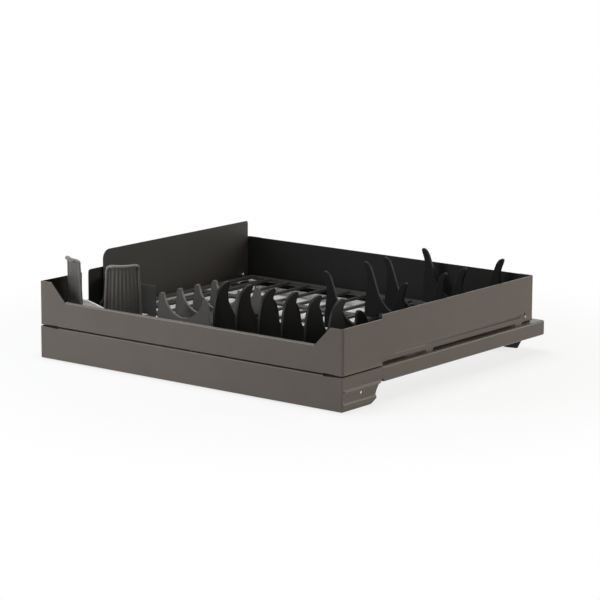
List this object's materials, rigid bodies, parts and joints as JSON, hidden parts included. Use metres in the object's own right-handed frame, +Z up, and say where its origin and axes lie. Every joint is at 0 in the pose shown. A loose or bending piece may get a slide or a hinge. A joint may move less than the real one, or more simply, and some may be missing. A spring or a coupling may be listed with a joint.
{
  "type": "pull-out dish rack",
  "caption": "Pull-out dish rack in grey sheet metal: a runner-mounted frame with a drip tray and a lift-off basket with plate dividers, bowl cradles and cup rests.",
  "frame": {"origin": "middle of the rack's footprint at rest, on the cabinet floor under the feet", "axes": "+X to the rack's right as seen from its front, +Y to the rear of the cabinet, +Z up"},
  "size_m": [0.56, 0.507, 0.1522],
  "materials": {
    "grey_paint": "fine satin powder coat, warm dark grey",
    "black_plastic": "smooth semi-matt moulding",
    "graphite_plastic": "satin moulding",
    "pale_plastic": "satin moulding, light grey",
    "runner_steel": "zinc plated",
    "cage_steel": "bright strip with steel balls",
    "black_steel": "black coating",
    "screw_steel": "bright plated"
  },
  "bodies": {
    "root": {"cabinet_member_left": "runner_steel", "cabinet_member_right": "runner_steel", "front_foot_left": "black_steel", "front_foot_right": "black_steel", "rear_foot_left": "black_steel", "rear_foot_right": "black_steel", "soft_close_left": "graphite_plastic", "soft_close_right": "graphite_plastic"},
    "middle_right": {"middle_member_right": "runner_steel"},
    "middle_left": {"middle_member_left": "runner_steel"},
    "outer_cage_right": {"outer_ball_cage_right": "cage_steel"},
    "outer_cage_left": {"outer_ball_cage_left": "cage_steel"},
    "inner_cage_right": {"inner_ball_cage_right": "cage_steel"},
    "inner_cage_left": {"inner_ball_cage_left": "cage_steel"},
    "rack": {"drawer_member_left": "runner_steel", "drawer_member_right": "runner_steel", "front_cross_member": "runner_steel", "lower_front_panel": "grey_paint", "rear_cross_member": "runner_steel", "tray_frame": "grey_paint"},
    "basket": {"back_wall": "grey_paint", "bowl_cradle_1": "graphite_plastic", "bowl_cradle_2": "graphite_plastic", "bowl_cradle_3": "graphite_plastic", "bowl_cradle_4": "graphite_plastic", "cross_panel": "grey_paint", "cup_rest_left": "graphite_plastic", "cup_rest_right": "graphite_plastic", "cup_tray": "pale_plastic", "floor_grid": "grey_paint", "front_divider_rail": "black_plastic", "front_plate_divider_1": "black_plastic", "front_plate_divider_2": "black_plastic", "front_plate_divider_3": "black_plastic", "front_plate_divider_4": "black_plastic", "left_cradle_rail": "black_plastic", "left_divider_rail": "black_plastic", "rear_divider_rail": "black_plastic", "right_cradle_rail": "black_plastic", "right_divider_rail": "black_plastic", "side_plate_divider_1": "black_plastic", "side_plate_divider_2": "black_plastic", "side_plate_divider_3": "black_plastic", "side_plate_divider_4": "black_plastic", "side_plate_divider_5": "black_plastic", "side_plate_divider_6": "black_plastic", "side_wall_left": "grey_paint", "side_wall_right": "grey_paint", "tall_side_panel": "grey_paint", "upper_front_panel": "grey_paint", "wall_screw_left": "screw_steel", "wall_screw_right": "screw_steel"},
    "drip_tray": {"drip_tray": "pale_plastic"}
  },
  "joints": [
    {"name": "rack_slide", "type": "slide", "parent": "root", "child": "rack", "axis": [0, -1, 0], "range_m": [0, 0.44]},
    {"name": "middle_slide_right", "type": "slide", "parent": "root", "child": "middle_right", "axis": [0, -1, 0], "range_m": [0, 0.22]},
    {"name": "outer_cage_slide_right", "type": "slide", "parent": "root", "child": "outer_cage_right", "axis": [0, -1, 0], "range_m": [0, 0.11]},
    {"name": "inner_cage_slide_right", "type": "slide", "parent": "root", "child": "inner_cage_right", "axis": [0, -1, 0], "range_m": [0, 0.33]},
    {"name": "middle_slide_left", "type": "slide", "parent": "root", "child": "middle_left", "axis": [0, -1, 0], "range_m": [0, 0.22]},
    {"name": "outer_cage_slide_left", "type": "slide", "parent": "root", "child": "outer_cage_left", "axis": [0, -1, 0], "range_m": [0, 0.11]},
    {"name": "inner_cage_slide_left", "type": "slide", "parent": "root", "child": "inner_cage_left", "axis": [0, -1, 0], "range_m": [0, 0.33]},
    {"name": "basket_lift", "type": "slide", "parent": "rack", "child": "basket", "axis": [0, 0, 1], "range_m": [0, 0.12]},
    {"name": "drip_tray_lift", "type": "slide", "parent": "rack", "child": "drip_tray", "axis": [0, 0, 1], "range_m": [0, 0.01]}
  ],
  "couplings": [
    {"joint": "middle_slide_right", "follows": "rack_slide", "ratio": 0.5},
    {"joint": "outer_cage_slide_right", "follows": "rack_slide", "ratio": 0.25},
    {"joint": "inner_cage_slide_right", "follows": "rack_slide", "ratio": 0.75},
    {"joint": "middle_slide_left", "follows": "rack_slide", "ratio": 0.5},
    {"joint": "outer_cage_slide_left", "follows": "rack_slide", "ratio": 0.25},
    {"joint": "inner_cage_slide_left", "follows": "rack_slide", "ratio": 0.75}
  ]
}
